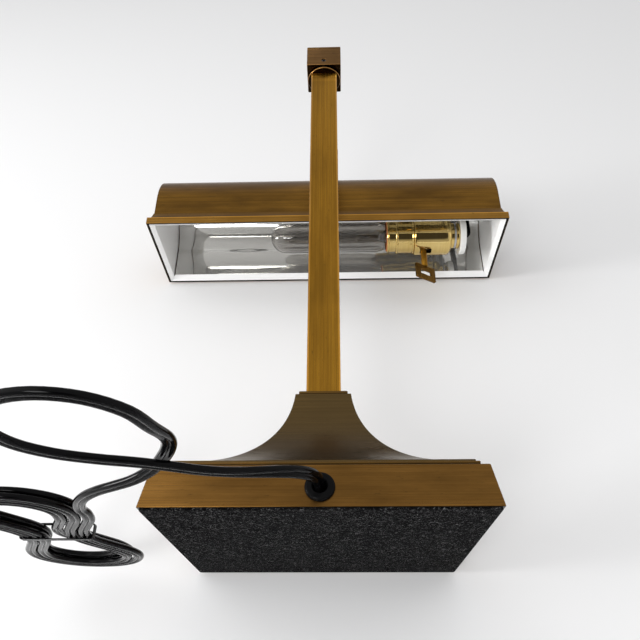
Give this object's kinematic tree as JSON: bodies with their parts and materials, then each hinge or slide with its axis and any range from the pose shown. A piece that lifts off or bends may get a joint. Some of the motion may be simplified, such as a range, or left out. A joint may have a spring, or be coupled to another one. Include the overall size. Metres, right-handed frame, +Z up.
{
  "type": "desk lamp",
  "caption": "Brass desk lamp with a half-round trough shade on a swivelling boom, square flared base, tilting shade, keyed socket with tubular bulb, and a flat cord with plug.",
  "frame": {"origin": "middle of the base's underside, on the surface the lamp stands on", "axes": "+Z up, -Y towards the shade at the front, +X along the shade away from the socket"},
  "size_m": [0.3774, 0.4168, 0.444],
  "materials": {
    "antique_brass": "brushed antique brass, lacquered",
    "dark_brass": "dark brushed antique brass",
    "bright_brass": "bright lacquered sheet brass",
    "polished_reflector": "polished to a mirror",
    "felt": "grey felt with fine flecks",
    "iron": "rough casting",
    "steel": "zinc plated",
    "cord_black": "glossy black vinyl",
    "plug_black": "moulded black vinyl",
    "white_insulator": "white insulating disc",
    "fibre": "red-brown fibre",
    "moulded_core": "black moulding",
    "clear_glass": "clear",
    "bulb_metal": "screw cap",
    "filament_wire": "drawn wire"
  },
  "bodies": {
    "stand": {"felt_pad": "felt", "base_plate": "steel", "base_weight": "iron", "base_shell": "antique_brass", "cord_grommet": "cord_black", "plinth_plate": "dark_brass", "flare": "dark_brass", "collar_plate": "dark_brass", "post": "antique_brass", "post_rod": "steel", "rod_nut_foot": "steel", "rod_nut_head": "steel", "post_lead": "cord_black", "swivel_disc": "dark_brass", "cord_lead": "cord_black", "cord_hank": "cord_black", "cord_tie": "cord_black", "plug_body": "plug_black", "plug_blades": "steel"},
    "boom": {"swivel_block": "dark_brass", "block_cap": "dark_brass", "block_set_screw": "steel", "boom_tube": "antique_brass", "boom_lead": "cord_black", "boom_knuckle": "dark_brass", "pivot_pin": "bright_brass"},
    "shade": {"shade_bracket": "dark_brass", "bracket_rivets": "bright_brass", "shade_trough": "antique_brass", "shade_end_left": "antique_brass", "shade_end_right": "antique_brass", "shade_rim": "dark_brass", "reflector": "polished_reflector", "reflector_end_left": "polished_reflector", "reflector_end_right": "polished_reflector", "socket_strap": "steel", "socket_nipple": "bright_brass", "neck_collar": "bright_brass", "neck_nut": "bright_brass", "insulating_disc": "white_insulator", "socket_lead": "cord_black", "socket_cap": "bright_brass", "socket_shell": "bright_brass", "socket_liner": "fibre", "socket_core": "moulded_core", "screw_shell": "bright_brass", "bulb_glass": "clear_glass", "bulb_base": "bulb_metal", "bulb_stem": "clear_glass", "bulb_filament": "filament_wire"},
    "key": {"switch_key": "dark_brass"}
  },
  "joints": [
    {"name": "boom_swivel", "type": "hinge", "parent": "stand", "child": "boom", "pos_m": [0, 0, 0.43155], "axis": [0, 0, 1], "range_deg": [-170, 170]},
    {"name": "shade_tilt", "type": "hinge", "parent": "boom", "child": "shade", "pos_m": [0, -0.145, 0.43155], "axis": [-1, 0, 0], "range_deg": [-25, 50]},
    {"name": "key_turn", "type": "hinge", "parent": "shade", "child": "key", "pos_m": [-0.1, -0.145, 0.30805], "axis": [0, 0, -1], "continuous": true}
  ]
}
